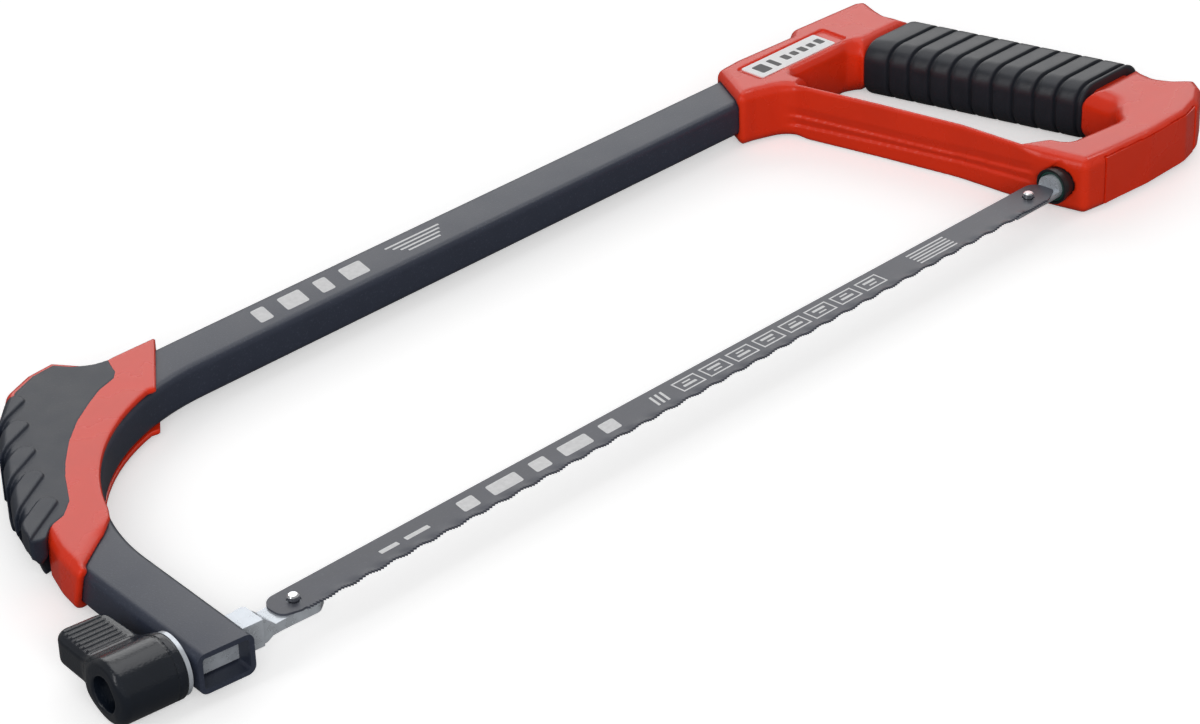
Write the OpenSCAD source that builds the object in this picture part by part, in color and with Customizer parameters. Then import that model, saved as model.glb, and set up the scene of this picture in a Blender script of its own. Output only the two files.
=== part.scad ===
// Hacksaw with a tubular bow, a closed D handle and a wing-knob blade tensioner.
// The saw lies on its side: +X runs along the blade from the nose to the handle,
// +Y from the blade to the back tube, +Z up. The parts are drawn from the front blade
// pin's axis at the bow's mid-plane, then shifted so that the origin is the centre of
// the saw's footprint on the surface it lies on.

/* [Blade] */
// Distance between the blade's pin holes
blade_len = 300; // [250:10:320]
// Width of the blade over the tooth tips
blade_w = 11.2; // [10:0.1:13]
// Thickness of the blade
blade_t = 0.65; // [0.5:0.05:0.8]
// Radius of each pin hole in the blade
blade_hole_r = 2.0; // [1.95:0.05:2.3]
// Radius of each blade pin
pin_r = 1.6; // [1.3:0.05:1.6]
// Height of each pin above the holder's tab
pin_h = 2.4; // [2:0.1:3.2]
// Outward lean of the pins in degrees
pin_lean = 4; // [0:0.5:4]

/* [Frame tube] */
// Clear height from the blade's centre line to the back tube
throat = 105; // [95:1:110]
// Width of the tube in the plane of the saw
tube_w = 17; // [16:0.5:18]
// Thickness of the tube across the saw
tube_h = 12; // [11:0.5:12.5]
// Wall of the tube
tube_wall = 1.5; // [1:0.1:1.7]
// Outer corner radius of the tube
tube_r = 2.5; // [1.8:0.1:3]
// Inside radius of the nose bend
bend_r = 75; // [70:1:78]
// Slant of the front arm in degrees
arm_slant = 6; // [5:0.25:6.5]

/* [Tensioner] */
// Side of the draw bar's square shank
shank = 8; // [6:0.5:8]
// Nominal thread radius of the draw bar
thread_r = 3; // [2.5:0.1:3.2]
// Thread pitch
pitch = 1; // [0.8:0.05:1.25]
// Radius of the knob's barrel
knob_r = 9; // [8.5:0.1:9.5]
// Length of the knob's barrel
knob_len = 19; // [18:0.5:21]
// Reach of the knob's wing from the axis
wing_reach = 27; // [24:0.5:28]

/* [Handle] */
// Thickness of the handle across the saw
handle_t = 19; // [18:0.5:19.5]
// Thickness of the grip sleeve across the saw
grip_t = 20; // [19.5:0.5:22]
// Width of the grip sleeve in the plane of the saw
grip_w = 29; // [28:0.5:30]
// Number of grooves round the grip sleeve
grip_grooves = 10; // [8:1:10]

/* [Bumper] */
// Thickness of the nose bumper across the saw
bumper_t = 15.5; // [15:0.25:17]

/* [Hidden] */
$fn = 96;
eps = 0.01;
// shift from the front pin's axis to the centre of the footprint
shift = [-164.284 - (blade_len - 300) / 2, -61.785, grip_t / 2];
c = 0.05;                       // slip clearance between bedded parts
dx = blade_len - 300;           // shift of everything at the handle end
bend_c = [58.1, throat - bend_r];
n_out = [-cos(arm_slant), sin(arm_slant)];   // outward normal of the front arm
arm_len = 48;
// the tensioner's axis is square to the arm and crosses the arm at ax0
ax0 = [-22, -0.3];
hz = handle_t / 2;
bz = bumper_t / 2;
grip_y = [99, 23.3];            // the sleeve's ends are square to Y
grip_top = [352.1, grip_y[0]];  // centre of the sleeve's upper end
grip_bot = [371.3, grip_y[1]];  // centre of the sleeve's lower end
groove_y = [90.2, 25.3];        // first and last groove
tube_end = 318 + dx;            // end of the frame tube inside the handle
grip_len = norm(grip_bot - grip_top);
grip_ang = atan2(grip_bot[1] - grip_top[1], grip_bot[0] - grip_top[0]);
rod_r = 4;
screw_x = [300 + dx, 311 + dx]; // the two handle screws
// distances along the tensioner axis, measured outwards from ax0
d_face = 16.6;                  // outer face of the arm
d_wash = d_face + 0.05;         // washer
wash_t = 1.2;
d_knob = d_wash + wash_t + 0.05;

// ---------- helpers ----------
function unit(v) = v / norm(v);
// arc of points that rounds corner b of the path a-b-c2
function corner(a, b, c2, r, n) = r <= 0.02 ? [b] :
    let (u = unit(a - b), v = unit(c2 - b), ang = acos(u * v), d = r / tan(ang / 2),
         o = b + unit(u + v) * (r / sin(ang / 2)), p0 = b + u * d, p1 = b + v * d,
         a0 = atan2(p0[1] - o[1], p0[0] - o[0]), a1 = atan2(p1[1] - o[1], p1[0] - o[0]),
         da = ((a1 - a0 + 900) % 360) - 180)
    [for (k = [0:n]) o + r * [cos(a0 + da * k / n), sin(a0 + da * k / n)]];
function xy(p) = [p[0], p[1]];
// closed polygon from [x, y, corner radius] points
function rounded(P, n = 5) = let (m = len(P))
    [for (i = [0:m - 1]) each corner(xy(P[(i + m - 1) % m]), xy(P[i]), xy(P[(i + 1) % m]), P[i][2], n)];

module slab(P, z0, z1, n = 5) { translate([0, 0, z0]) linear_extrude(z1 - z0) polygon(rounded(P, n)); }

// rounded rectangle, from (0,-h/2) to (w,h/2)
module rrect(w, h, r) {
    translate([r, -h / 2]) square([w - 2 * r, h]);
    translate([0, -h / 2 + r]) square([w, h - 2 * r]);
    for (x = [r, w - r], y = [-h / 2 + r, h / 2 - r]) translate([x, y]) circle(r);
}
module tube_section(grow = 0) {
    translate([-grow, 0]) rrect(tube_w + 2 * grow, tube_h + 2 * grow, tube_r + grow);
}
// rectangle of the tube's hollow
module tube_inside(grow = 0) {
    translate([tube_wall - grow, 0]) rrect(tube_w - 2 * tube_wall + 2 * grow, tube_h - 2 * tube_wall + 2 * grow, max(0.4, tube_r - tube_wall) + grow);
}
// the bend of the bow; the 2D section has x = distance from the inside of the bow, y = z
module bend() {
    translate([bend_c[0], bend_c[1], 0]) rotate([0, 0, 90]) rotate_extrude(angle = 90 - arm_slant)
        translate([bend_r, 0]) children();
}
// the two straight runs, lapping the bend by lap
module runs(x_end, arm = arm_len, lap = 0.5) {
    translate([bend_c[0] - lap, throat, 0]) rotate([90, 0, 90]) linear_extrude(x_end - bend_c[0] + lap) children();
    translate([bend_c[0], bend_c[1], 0]) rotate([0, 0, 180 - arm_slant]) translate([bend_r, -lap, 0])
        rotate([90, 0, 0]) mirror([0, 0, 1]) linear_extrude(arm + lap) children();
}
// room for the tube in the parts that hold it
module tube_room(x_end) {
    bend() tube_section(c);
    runs(x_end) tube_section(c + 0.02);
}
// frame of the tensioner axis: local +X points outwards to the knob, +Z up
module on_axis() { translate([ax0[0], ax0[1], 0]) rotate([0, 0, 180 - arm_slant]) children(); }

// ---------- frame ----------
module frame_tube() {
    color("#3f4149") difference() {
        union() {
            bend() tube_section();
            runs(tube_end) tube_section(0.02);
        }
        bend() tube_inside();
        runs(tube_end + 1, arm_len + 1) tube_inside(-0.02);
        // square passage for the draw bar through both walls of the arm
        on_axis() translate([-10, -shank / 2 - 0.15, -shank / 2 - 0.15]) cube([30, shank + 0.3, shank + 0.3]);
        // screw holes in the handle end
        for (x = screw_x) translate([x, throat + tube_w / 2, -tube_h]) cylinder(r = 1.75, h = tube_h);
    }
}

// ---------- bumper ----------
// outline of the red core under the pad
CORE = [[57, 124.2, 0.8], [41, 124.4, 0.5], [36, 125.4, 1], [27, 131.6, 2], [18.5, 131.2, 4], [11, 127.8, 5],
        [1, 117.2, 18], [-12, 97.8, 30], [-23, 79, 30], [-29.6, 62.8, 2], [-32.6, 55, 20], [-34.4, 47, 20], [-34.9, 42.4, 1], [-32, 42.4, 0.5]];
// inner side follows the inside of the bow
INNER = concat([[-31, 44.4, 2], [-22, 50.5, 8], [-12.6, 58, 1]],
               [for (a = [155:-4:107]) [bend_c[0] + (bend_r + 0.25) * cos(a), bend_c[1] + (bend_r + 0.25) * sin(a), 0]],
               [[38.6, 101.4, 1]]);
// boundary between the pad and the red rim on the flat faces
RIM = [[40, 123.2, 0.5], [36.8, 116.6, 2], [34, 114, 2], [27, 111.8, 6], [20.9, 108.4, 6], [12.5, 103.1, 10], [4.3, 96.2, 10],
       [-3, 88.6, 10], [-8.1, 82.2, 6], [-15, 71.6, 3], [-20.7, 66.8, 3], [-27, 65, 3], [-31, 61.6, 1]];
// pad's own outer line in plan
PAD_OUT = [[-35.6, 60.6, 1.5], [-26.5, 80, 30], [-15, 99.5, 30], [-2, 119, 18], [9, 130.6, 6], [19, 134.6, 4], [28.2, 135.4, 1.2], [32.3, 131.2, 4], [35.5, 126.6, 4]];

module bumper_shell() {
    color("#c8281a") difference() {
        slab(concat(CORE, INNER), -bz, bz);
        tube_room(120);
        // open towards the throat between the two plates
        translate([bend_c[0], bend_c[1], -tube_h / 2 - c]) cylinder(r = bend_r + 1.5, h = tube_h + 2 * c);
        // end face of the chin leans back towards the underside
        translate([-50, 42.4, bz]) rotate([0, 90, 0]) linear_extrude(60) polygon([[0, 0], [2 * bz, 5.2], [2 * bz + 1, 5.2], [2 * bz + 1, -8], [0, -8]]);
        // beds of the pad on both faces
        for (s = [0, 1]) mirror([0, 0, s]) slab(concat(RIM, PAD_OUT), bz - 1.2, bz + 1);
    }
}
module rib(a, b, w) {
    // raised bar on the pad from a to b in plan, wrapping over both faces
    u = unit(b - a); v = [-u[1], u[0]];
    slab([for (q = [a - v * w / 2, b - v * w / 2, b + v * w / 2, a + v * w / 2]) [q[0], q[1], 0]], -bz - 0.7, bz + 0.7);
}
module bumper_pad() {
    color("#3a3b41") union() {
        difference() {
            slab(concat(RIM, PAD_OUT), -bz - 0.1, bz + 0.1);
            slab(concat([for (p = CORE) p], INNER), -bz + 1.2, bz - 1.2);
            tube_room(120);
        }
        // five raised diagonal ribs
        difference() {
            union() {
                rib([9.5, 121.5], [-3.6, 114.6], 6);
                rib([3, 110.5], [-10.9, 103.6], 6);
                rib([-4, 98.6], [-18, 91.5], 6);
                rib([-10.6, 86.6], [-24.6, 79.5], 6);
                rib([-16.8, 74.6], [-30.4, 67.4], 6);
            }
            slab(concat([for (p = CORE) p], INNER), -bz + 1.2, bz - 1.2);
            tube_room(120);
        }
    }
}

// ---------- handle ----------
// top block, guard and heel drawn as one closed ring; the grip side is a straight core
H_OUT = [[281.8, 103.4, 2], [292.3, 123.2, 3], [302, 124, 8], [327.5, 123, 2], [332, 126, 3], [362, 124.8, 2], [366, 122.5, 2.5],
         [363, 115, 5], [361.2, 109, 5], [364, 103.5, 4], [366.6, 99.05, 0.3],
         [337.6, 99.05, 0.3], [337.4, 101.5, 1.5], [334.5, 103.6, 2], [304, 103.6, 2.5],
         [308.4, 98, 8], [315.8, 66, 60], [321.2, 37, 60], [322.6, 12, 8], [326, 4.8, 4], [349, 2.2, 6], [355.6, 10, 6], [356.4, 23.25, 0.3],
         [385.6, 23.25, 0.3], [380.5, 16, 4], [378.4, 11.5, 6], [379.6, 6.6, 3], [387, 1.2, 1.3], [384, -3.4, 2], [376, -8.4, 6], [366, -11.3, 8],
         [347, -11.8, 20], [327, -10.4, 8], [317, -9, 3], [315, 0, 3], [312.8, 12, 30], [311.3, 37, 60], [305.9, 65.5, 60], [299, 98.2, 8], [288, 102.2, 6]];
// slanted bar of the grip, w in the plane of the saw, cut square to Y between y0 and y1
module grip_bar(w, t, r, y0, y1) {
    intersection() {
        translate([grip_top[0], grip_top[1], 0]) rotate([0, 0, grip_ang]) translate([-30, 0, 0])
            rotate([90, 0, 90]) linear_extrude(grip_len + 60) translate([-w / 2, 0]) rrect(w, t, r);
        translate([300, y0, -20]) cube([120, y1 - y0, 40]);
    }
}
module handle_body() {
    color("#c8281a") translate([dx, 0, 0]) difference() {
        union() {
            slab(H_OUT, -hz, hz);
            // core bar under the grip sleeve, with a collar at each end of the sleeve
            grip_bar(22, 14, 5, grip_y[1] - 8, grip_y[0] + 8);
            grip_bar(grip_w - 0.4, grip_t - 0.6, 6.8, grip_y[0] + 0.05, grip_y[0] + 5);
            grip_bar(grip_w - 0.4, grip_t - 0.6, 6.8, grip_y[1] - 8, grip_y[1] - 0.05);
        }
        // socket for the frame tube
        translate([-dx, 0, 0]) translate([200, throat, 0]) rotate([90, 0, 90]) linear_extrude(tube_end + 0.3 - 200) tube_section(c + 0.02);
        // rear slopes of the guard, both faces
        for (s = [0, 1]) mirror([0, 0, s])
            slab([[303.5, 97, 0], [310.5, 66, 0], [315.8, 37, 0], [317.2, 14, 0], [322, 14, 0], [325, 37, 0], [321, 66, 0], [309.5, 97, 0]], hz - 3.2, hz + 1);
        // label recess
        slab([[295.8, 106.8, 0.8], [295.8, 117.6, 0.8], [338.2, 117.6, 0.8], [338.2, 106.8, 0.8]], hz - 0.8, hz + 1);
        // grommet bore, diamond recess, rod bore, anchor pocket and clearance behind the rod
        translate([308, 0, 0]) rotate([0, 90, 0]) cylinder(r = 5.05, h = 12);
        translate([313.2, 0, 0]) rotate([45, 0, 0]) translate([-4, -5.4, -5.4]) cube([6.2, 10.8, 10.8]);
        translate([319, 0, 0]) rotate([0, 90, 0]) cylinder(r = rod_r + 0.3, h = 31);
        // cavity for the anchor plate and the retaining pin, closed by the heel cover
        translate([326, -14, -7]) cube([3.1, 21, 14]);
        translate([329, -14, -7]) cube([14, 21, 14]);
        // seat of the heel cover
        slab([[325.6, -14, 0], [325.6, -8.2, 0], [347, -9.2, 20], [366, -8.7, 8], [373.5, -6.6, 0.3], [374, -14, 0]], -8, 8);
        // screw counterbores on the underside
        for (x = screw_x) translate([x - dx, throat + tube_w / 2, 0]) {
            translate([0, 0, -hz - 1]) cylinder(r = 3.1, h = 3.2);
            translate([0, 0, -hz - 1]) cylinder(r = 1.75, h = 6);
        }
    }
}
module heel_cover() {
    color("#c8281a") translate([dx, 0, 0])
        slab([[325.7, -10.3, 0], [325.7, -8.25, 0], [347, -9.25, 20], [366, -8.8, 8], [372.2, -7.3, 0.3], [373.3, -8.9, 0.3], [366, -10.9, 8],
              [347, -11.3, 20], [327, -10.3, 4]], -7.9, 7.9);
}
module grip_sleeve() {
    color("#45474d") translate([dx, 0, 0]) difference() {
        grip_bar(grip_w, grip_t, 7, grip_y[1], grip_y[0]);
        grip_bar(22 + 2 * c, 14 + 2 * c, 5 + c, grip_y[1] - 1, grip_y[0] + 1);
        // grooves, square to Y
        for (k = [0:grip_grooves - 1]) let (y = groove_y[0] + (groove_y[1] - groove_y[0]) * k / (grip_grooves - 1)) difference() {
            grip_bar(grip_w + 2, grip_t + 2, 8, y - 0.65, y + 0.65);
            grip_bar(grip_w - 2.4, grip_t - 2.4, 5.8, y - 1, y + 1);
        }
    }
}
module label_plate() {
    color("white") translate([dx, 0, 0])
        slab([[297.5, 107.4, 0.8], [297.5, 117.2, 0.8], [333.2, 117.2, 0.8], [333.2, 107.4, 0.8]], hz - 0.8 + 0.01, hz - 0.3);
}
module handle_screws() {
    // two pan-head self-tapping screws that hold the tube in the handle
    color("silver") for (x = screw_x) translate([x, throat + tube_w / 2, 0]) {
        translate([0, 0, -hz + 0.3]) difference() {
            cylinder(r = 2.9, h = 1.85);
            translate([-2, -0.4, -1]) cube([4, 0.8, 1.8]);
            translate([-0.4, -2, -1]) cube([0.8, 4, 1.8]);
        }
        translate([0, 0, -hz + 2]) cylinder(r = 1.6, h = 7.4);
    }
}

// ---------- rear blade holder ----------
module holder_grommet() {
    color("#1b1b1d") translate([dx, 0, 0]) difference() {
        union() {
            translate([311.3, 0, 0]) rotate([0, 90, 0]) cylinder(r = 5.7, h = 1.85);
            translate([313, 0, 0]) rotate([0, 90, 0]) cylinder(r = 5.0, h = 6.9);
        }
        translate([308, 0, 0]) rotate([0, 90, 0]) cylinder(r = rod_r + 0.06, h = 14);
        // groove that seats the O-ring
        translate([311.2, 0, 0]) rotate([0, 90, 0]) cylinder(r = 4.95, h = 1.2);
    }
}
module holder_oring() {
    color("#24423f") translate([dx + 311.9, 0, 0]) rotate([0, 90, 0])
        rotate_extrude() translate([rod_r + 0.5, 0]) circle(0.44, $fn = 24);
}
module anchor_plate() {
    // steel plate with a square hole that keeps the rod from turning
    color("silver") translate([dx, 0, 0]) difference() {
        translate([326.05, -6.9, -6.9]) cube([3, 13.8, 13.8]);
        translate([325, -2.95, -2.95]) cube([5, 5.9, 5.9]);
    }
}
module rear_holder() {
    color("#c9ccd1") translate([dx, 0, 0]) difference() {
        union() {
            // round rod through the grommet
            translate([291.5, 0, 0]) rotate([0, 90, 0]) cylinder(r = rod_r, h = 30.5);
            // square shank through the anchor plate
            translate([321, -2.85, -2.85]) cube([18, 5.7, 5.7]);
        }
        // upper half milled away under the blade
        translate([280, -10, 0]) cube([30.2, 20, 10]);
        // underside flat
        translate([280, -10, -13]) cube([24, 20, 10]);
        // cross hole of the retaining pin
        translate([330.15, 0, -10]) cylinder(r = 1.0, h = 20);
        // pin seat
        translate([300, 0, 0]) rotate([0, pin_lean, 0]) translate([0, 0, -6]) cylinder(r = pin_r, h = 7);
    }
}
module retaining_pin() {
    color("#8d9096") translate([dx + 330.15, 0, -5.2]) cylinder(r = 1.0, h = 10.4);
}
module blade_pin(s) {
    // straight riveted pin with a slightly domed top, leaning outwards
    rotate([0, s * pin_lean, 0]) difference() {
        union() {
            translate([0, 0, -2.6]) cylinder(r = pin_r, h = 2.6 + pin_h - 0.35);
            translate([0, 0, pin_h - 0.35 - eps]) cylinder(r1 = pin_r, r2 = pin_r - 0.4, h = 0.35 + eps);
        }
    }
}
module rear_blade_pin() { color("#d8dade") translate([blade_len, 0, 0]) blade_pin(1); }
module front_blade_pin() { color("#d8dade") blade_pin(-1); }

// ---------- blade ----------
// wavy-set teeth: each tooth's tip leans a little out of the blade's plane
module saw_blade() {
    tooth = 25.4 / 24;
    z0 = 0.02;
    back = blade_w / 2;
    color("#4a4852") difference() {
        translate([0, 0, z0]) linear_extrude(blade_t) difference() {
            polygon(concat(
                rounded([[blade_len + 9.2, -back + 2.6, 1], [blade_len + 9.2, back - 0.2, 4.2], [-7, back, 4.6], [-7, -back + 2.4, 3], [-1.5, -back + 0.7, 0.5]]),
                [for (x = [0:tooth:blade_len + 2]) each [[x, -back + 0.75], [x + tooth * 0.72, -back]]],
                [[blade_len + 4.4, -back + 0.7]]));
        }
        for (x = [0, blade_len]) translate([x, 0, -5]) cylinder(r = blade_hole_r, h = 10);
    }
}

// ---------- tensioner ----------
module front_holder() {
    color("#c9ccd1") difference() {
        union() {
            // square shank through the arm
            on_axis() translate([-8, -shank / 2, -shank / 2]) cube([24.2, shank, shank]);
            // threaded end; closed rings stand for the helix
            on_axis() translate([15.5, 0, 0]) rotate([0, 90, 0]) rotate_extrude()
                polygon(concat([[0, 0], [thread_r - 0.45, 0], [thread_r - 0.45, 1.7]],
                               [for (k = [0:13]) each [[thread_r, 2.15 + k * pitch], [thread_r - 0.45, 2.15 + k * pitch + pitch / 2]]],
                               [[thread_r - 0.45, 16.5], [0, 16.5]]));
            // stepped neck, ramp and flat tab under the blade
            difference() {
                slab([[-17, -4.4, 0.3], [-8, -4.2, 8], [4.5, -5, 3], [8.6, -2, 2.8], [8.6, 1.5, 2.4], [4.5, 3.9, 3], [-8, 3.4, 6], [-17, 3.5, 0.3]], -3.97, 3.97);
                translate([0, 10, 0]) rotate([90, 0, 0]) linear_extrude(20) polygon([[-9.8, 0], [12, 0], [12, 6], [-16.45, 6]]);
                translate([0, 10, 0]) rotate([90, 0, 0]) linear_extrude(20) polygon([[-10.9, -3], [-15, -5], [12, -5], [12, -3]]);
            }
        }
        // pin seat
        rotate([0, -pin_lean, 0]) translate([0, 0, -6]) cylinder(r = pin_r, h = 7);
    }
}
module knob_washer() {
    color("#e4e6ea") on_axis() translate([d_wash, 0, 0]) rotate([0, 90, 0]) difference() {
        cylinder(r = knob_r - 0.3, h = wash_t);
        translate([0, 0, -1]) cylinder(r = thread_r + 0.4, h = 4);
    }
}
module tension_knob() {
    color("#2c2d31") on_axis() difference() {
        union() {
            translate([d_knob, 0, 0]) rotate([0, 90, 0]) cylinder(r = knob_r, h = knob_len - 1.2);
            translate([d_knob + knob_len - 1.2, 0, 0]) rotate([0, 90, 0]) cylinder(r1 = knob_r, r2 = knob_r - 1.2, h = 1.2);
            // wing towards the back of the saw
            translate([d_knob, 0, 0]) mirror([0, 1, 0])
                slab([[0.3, 0, 0], [knob_len - 1.3, 0, 0], [knob_len - 1.3, 10, 0], [knob_len - 1.7, wing_reach, 4], [2.5, wing_reach - 0.4, 4], [1.6, 10, 4], [0.3, 8, 0]], -4.5, 4.5);
            // ribs on both faces of the wing
            for (k = [0:7], s = [0, 1]) mirror([0, 0, s]) translate([d_knob + 4.4, -wing_reach + 2.6 + k * 1.9, 4.5 - eps]) cube([11, 0.8, 0.45 + eps]);
        }
        // bore for the nut and the thread's free end
        translate([d_knob - 1, 0, 0]) rotate([0, 90, 0]) cylinder(r = 3.4, h = 6);
        translate([d_knob + 3, 0, 0]) rotate([0, 90, 0]) cylinder(r = 5.0 / cos(30) + 0.02, h = 6.6, $fn = 6);
        translate([d_knob + 9, 0, 0]) rotate([0, 90, 0]) cylinder(r = 4.9, h = 20);
    }
}
module knob_nut() {
    color("#b9a25a") on_axis() translate([d_knob + 3.05, 0, 0]) rotate([0, 90, 0]) difference() {
        cylinder(r = 5.0 / cos(30) - 0.02, h = 6, $fn = 6);
        translate([0, 0, -1]) cylinder(r = thread_r + 0.05, h = 8);
    }
}

translate(shift) frame_tube();
translate(shift) bumper_shell();
translate(shift) bumper_pad();
translate(shift) handle_body();
translate(shift) heel_cover();
translate(shift) grip_sleeve();
translate(shift) label_plate();
translate(shift) handle_screws();
translate(shift) holder_grommet();
translate(shift) holder_oring();
translate(shift) anchor_plate();
translate(shift) rear_holder();
translate(shift) retaining_pin();
translate(shift) rear_blade_pin();
translate(shift) saw_blade();
translate(shift) front_holder();
translate(shift) front_blade_pin();
translate(shift) knob_washer();
translate(shift) tension_knob();
translate(shift) knob_nut();
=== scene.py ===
import math
import bpy
import numpy as np
from mathutils import Matrix, Vector
from mathutils.geometry import delaunay_2d_cdt


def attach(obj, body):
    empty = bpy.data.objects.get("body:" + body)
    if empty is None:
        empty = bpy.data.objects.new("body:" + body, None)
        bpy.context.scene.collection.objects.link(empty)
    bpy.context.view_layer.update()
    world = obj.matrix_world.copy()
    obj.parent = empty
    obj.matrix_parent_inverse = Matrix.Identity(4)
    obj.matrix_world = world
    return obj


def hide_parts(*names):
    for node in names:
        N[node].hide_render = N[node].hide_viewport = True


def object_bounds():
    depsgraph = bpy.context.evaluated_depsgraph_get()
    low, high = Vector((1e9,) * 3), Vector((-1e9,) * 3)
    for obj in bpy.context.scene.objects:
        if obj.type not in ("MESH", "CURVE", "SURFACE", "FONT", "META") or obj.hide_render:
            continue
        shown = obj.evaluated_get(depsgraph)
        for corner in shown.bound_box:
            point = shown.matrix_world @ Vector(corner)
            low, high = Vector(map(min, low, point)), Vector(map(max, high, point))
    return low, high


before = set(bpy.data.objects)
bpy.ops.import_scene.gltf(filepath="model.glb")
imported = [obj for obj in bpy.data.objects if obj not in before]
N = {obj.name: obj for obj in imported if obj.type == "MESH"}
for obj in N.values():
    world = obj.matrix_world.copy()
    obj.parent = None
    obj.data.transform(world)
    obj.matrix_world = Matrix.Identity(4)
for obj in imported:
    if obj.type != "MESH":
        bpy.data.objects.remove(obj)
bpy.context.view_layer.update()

MM = 0.001
# shapes are written from the front blade pin's axis; the row's origin is the centre of the footprint
OFF = np.array([-164.284, -61.785, 10.0])


# ------------------------------------------------------------------ shapes
def rounded(P, n=6):
    out = []
    m = len(P)
    for i in range(m):
        a, b, c = (np.array(P[(i + k) % m][:2], float) for k in (-1, 0, 1))
        r = P[i][2]
        if r <= 0.02:
            out.append(b)
            continue
        u, v = (a - b) / np.linalg.norm(a - b), (c - b) / np.linalg.norm(c - b)
        ang = math.acos(max(-1, min(1, float(u @ v))))
        d = r / math.tan(ang / 2)
        o = b + (u + v) / np.linalg.norm(u + v) * (r / math.sin(ang / 2))
        p0, p1 = b + u * d - o, b + v * d - o
        a0, a1 = math.atan2(p0[1], p0[0]), math.atan2(p1[1], p1[0])
        da = (a1 - a0 + 3 * math.pi) % (2 * math.pi) - math.pi
        out += [o + r * np.array([math.cos(a0 + da * k / n), math.sin(a0 + da * k / n)]) for k in range(n + 1)]
    return np.array(out)


def sdpoly(P, X, Y):
    X, Y = np.broadcast_arrays(X, Y)
    x, y = X.ravel(), Y.ravel()
    a, b = P, np.roll(P, -1, 0)
    keep = ((b - a) ** 2).sum(1) > 1e-12
    a, b = a[keep], b[keep]
    ex, ey = (b - a)[:, 0], (b - a)[:, 1]
    L = ex * ex + ey * ey
    eyy = np.where(np.abs(ey) < 1e-12, 1e-12, ey)
    out = np.empty(len(x))
    for s in range(0, len(x), 16384):
        xs, ys = x[s:s + 16384, None], y[s:s + 16384, None]
        wx, wy = xs - a[:, 0], ys - a[:, 1]
        t = np.clip((wx * ex + wy * ey) / L, 0, 1)
        d = ((wx - ex * t) ** 2 + (wy - ey * t) ** 2).min(1)
        hit = ((a[:, 1] > ys) != (b[:, 1] > ys)) & (wx < wy * ex / eyy)
        out[s:s + 16384] = np.sqrt(d) * np.where(hit.sum(1) % 2 == 1, -1, 1)
    return out.reshape(X.shape)


def rext(d2, dz, r):
    q1, q2 = d2 + r, dz + r
    return np.hypot(np.maximum(q1, 0), np.maximum(q2, 0)) + np.minimum(np.maximum(q1, q2), 0) - r


def smin(a, b, k):
    h = np.maximum(k - np.abs(a - b), 0) / k
    return np.minimum(a, b) - h * h * k * 0.25


def smax(a, b, k):
    return -smin(-a, -b, k)


def step(x, a, b):
    t = np.clip((x - a) / (b - a), 0, 1)
    return t * t * (3 - 2 * t)


def rrect_sd(x, z, hw, hh, r):
    qx, qz = np.abs(x) - hw + r, np.abs(z) - hh + r
    return np.hypot(np.maximum(qx, 0), np.maximum(qz, 0)) + np.minimum(np.maximum(qx, qz), 0) - r


def make_mesh(name, verts, faces, smooth=True):
    """verts in mm; faces an (n,4) or (n,3) array, or a list of index tuples."""
    me = bpy.data.meshes.new(name)
    v = (np.asarray(verts, float) + OFF) * MM
    if isinstance(faces, np.ndarray):
        k = faces.shape[1]
        me.vertices.add(len(v))
        me.vertices.foreach_set("co", v.astype(np.float32).ravel())
        me.loops.add(faces.size)
        me.loops.foreach_set("vertex_index", faces.astype(np.int32).ravel())
        me.polygons.add(len(faces))
        me.polygons.foreach_set("loop_start", np.arange(0, faces.size, k, dtype=np.int32))
        me.update(calc_edges=True)
    else:
        me.from_pydata([tuple(p) for p in v], [], [tuple(int(i) for i in f) for f in faces])
    me.validate()
    me.polygons.foreach_set("use_smooth", np.full(len(me.polygons), smooth))
    me.update()
    ob = bpy.data.objects.new(name, me)
    bpy.context.scene.collection.objects.link(ob)
    return ob


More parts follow.
